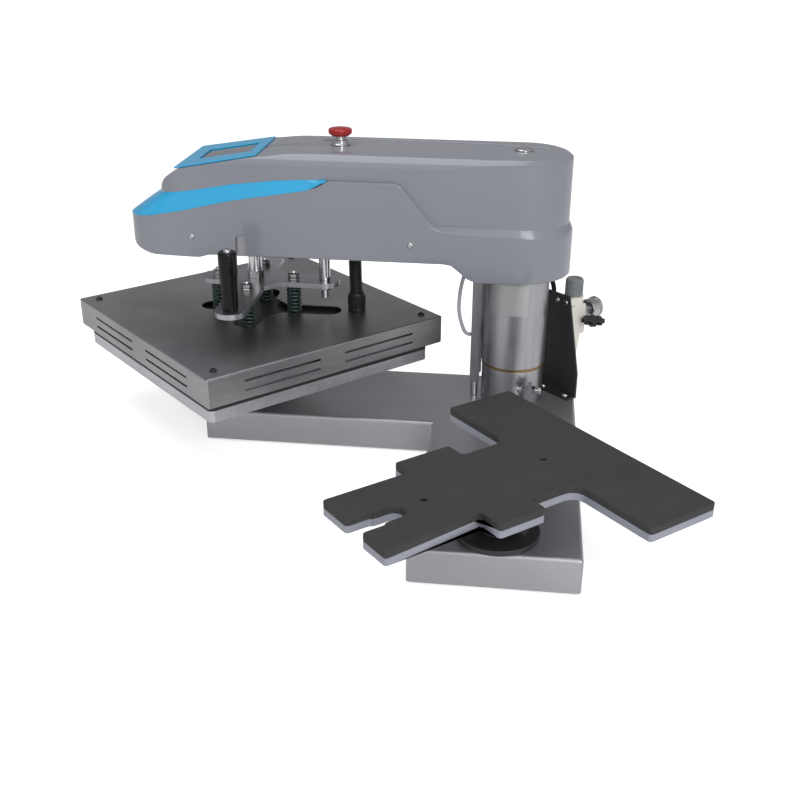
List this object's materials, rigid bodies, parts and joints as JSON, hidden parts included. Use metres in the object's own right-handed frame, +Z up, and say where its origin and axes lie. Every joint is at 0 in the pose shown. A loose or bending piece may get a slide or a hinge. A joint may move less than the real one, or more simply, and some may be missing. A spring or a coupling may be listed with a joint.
{
  "type": "swing-away heat press",
  "caption": "Pneumatic swing-away heat press on a V-shaped base: an arm on a turning column carries a square heated head over a square platen and a shoe platen.",
  "frame": {"origin": "on the floor at the swing column's axis, where the rubber feet stand", "axes": "+Z up along the column's axis; the heated head's sides lie along X and Y; the left station is towards -X -Y, the shoe station towards +X -Y"},
  "size_m": [1.0265, 0.693, 0.483],
  "materials": {
    "base_paint": "satin",
    "rubber": "matte",
    "plain_steel": "brushed",
    "ground_steel": "polished",
    "bronze": "satin",
    "dark_steel": "satin",
    "aluminium_plate": "satin",
    "light_plate": "satin",
    "silicone": "matte",
    "sponge": "matte",
    "arm_paint": "gloss",
    "blue_plastic": "gloss",
    "screen": "gloss",
    "board": "matte",
    "black_plastic": "matte",
    "red_plastic": "gloss",
    "cream_plastic": "matte",
    "grey_plastic": "matte",
    "plate_sticker": "matte",
    "grey_hose": "satin",
    "spring_paint": "satin",
    "mica": "matte",
    "wool": "matte"
  },
  "bodies": {
    "base": {"base_shell": "base_paint", "rubber_feet": "rubber", "column_base_tube": "plain_steel", "column_spindle": "ground_steel", "thrust_ring": "bronze", "left_post": "dark_steel", "left_platen": "aluminium_plate", "left_pad": "silicone", "front_post": "dark_steel", "stop_post": "plain_steel", "stop_screws": "ground_steel", "regulator_bracket": "dark_steel", "base_screws": "ground_steel", "regulator_body": "cream_plastic", "regulator_bowl": "cream_plastic", "gauge_tee": "plain_steel", "gauge_case": "ground_steel", "push_fittings": "grey_plastic", "power_inlet": "black_plastic", "supply_hose": "black_plastic"},
    "regulator_cap": {"regulator_cap": "grey_plastic"},
    "bleed_knob": {"bleed_knob": "black_plastic"},
    "gauge_needle": {"gauge_needle": "black_plastic"},
    "power_rocker": {"power_rocker": "red_plastic"},
    "shoe_station": {"shoe_platen": "light_plate", "shoe_pad": "sponge", "shoe_screws": "ground_steel", "shoe_socket": "dark_steel"},
    "platen_knob": {"platen_knob": "black_plastic"},
    "swing_arm": {"column_tube": "plain_steel", "bronze_bushings": "bronze", "index_bar": "plain_steel", "arm_beam": "dark_steel", "press_cylinder": "aluminium_plate", "arm_skirt": "arm_paint", "arm_top_cover": "arm_paint", "side_trim": "blue_plastic", "display_bezel": "blue_plastic", "display_screen": "screen", "control_board": "board", "estop_collar": "ground_steel", "cover_screws": "ground_steel", "rating_plate": "plate_sticker", "lock_hose": "grey_hose", "head_conduit": "black_plastic"},
    "index_pin": {"index_pin": "ground_steel"},
    "estop_button": {"estop_button": "red_plastic"},
    "press_group": {"spider_plate": "plain_steel", "piston_rod": "ground_steel", "guide_rod": "ground_steel", "handle_grip": "black_plastic", "press_springs": "spring_paint"},
    "heat_head": {"heat_platen": "aluminium_plate", "heater_mat": "mica", "insulation": "wool", "head_frame": "dark_steel", "head_cover": "plain_steel", "corner_screws": "black_plastic", "spring_bolts": "ground_steel", "conduit_gland": "black_plastic"}
  },
  "joints": [
    {"name": "arm_swing", "type": "hinge", "parent": "base", "child": "swing_arm", "pos_m": [0, 0, 0], "axis": [0, 0, 1], "range_deg": [0, 90]},
    {"name": "index_pin_lift", "type": "slide", "parent": "swing_arm", "child": "index_pin", "axis": [0, 0, 1], "range_m": [0, 0.01]},
    {"name": "press_stroke", "type": "slide", "parent": "swing_arm", "child": "press_group", "axis": [0, 0, 1], "range_m": [0, 0.05], "deforming": ["head_conduit"]},
    {"name": "head_float", "type": "slide", "parent": "press_group", "child": "heat_head", "axis": [0, 0, 1], "range_m": [0, 0.006], "stiffness_N_per_m": 60000, "springref_m": -0.003, "deforming": ["press_springs"]},
    {"name": "estop_press", "type": "slide", "parent": "swing_arm", "child": "estop_button", "axis": [0, 0, -1], "range_m": [0, 0.004], "stiffness_N_per_m": 1500, "springref_m": -0.002},
    {"name": "shoe_turn", "type": "hinge", "parent": "base", "child": "shoe_station", "pos_m": [0.303, -0.311, 0], "axis": [0, 0, 1], "range_deg": [-90, 90]},
    {"name": "platen_knob_turn", "type": "hinge", "parent": "shoe_station", "child": "platen_knob", "pos_m": [0.303, -0.311, 0.095], "axis": [0.9976, -0.0698, 0], "continuous": true},
    {"name": "regulator_turn", "type": "hinge", "parent": "base", "child": "regulator_cap", "pos_m": [0.0285, 0.1025, 0.23], "axis": [0, 0, 1], "range_deg": [-150, 150]},
    {"name": "bleed_turn", "type": "hinge", "parent": "base", "child": "bleed_knob", "pos_m": [0.0665, 0.111, 0.1745], "axis": [0, 0, 1], "range_deg": [-90, 0]},
    {"name": "gauge_swing", "type": "hinge", "parent": "base", "child": "gauge_needle", "pos_m": [0.03, 0.1355, 0.184], "axis": [0, 1, 0], "range_deg": [0, 270]},
    {"name": "power_rock", "type": "hinge", "parent": "base", "child": "power_rocker", "pos_m": [-0.29451, -0.18632, 0.027], "axis": [-0.7071, -0.7071, 0], "range_deg": [0, 14]}
  ]
}
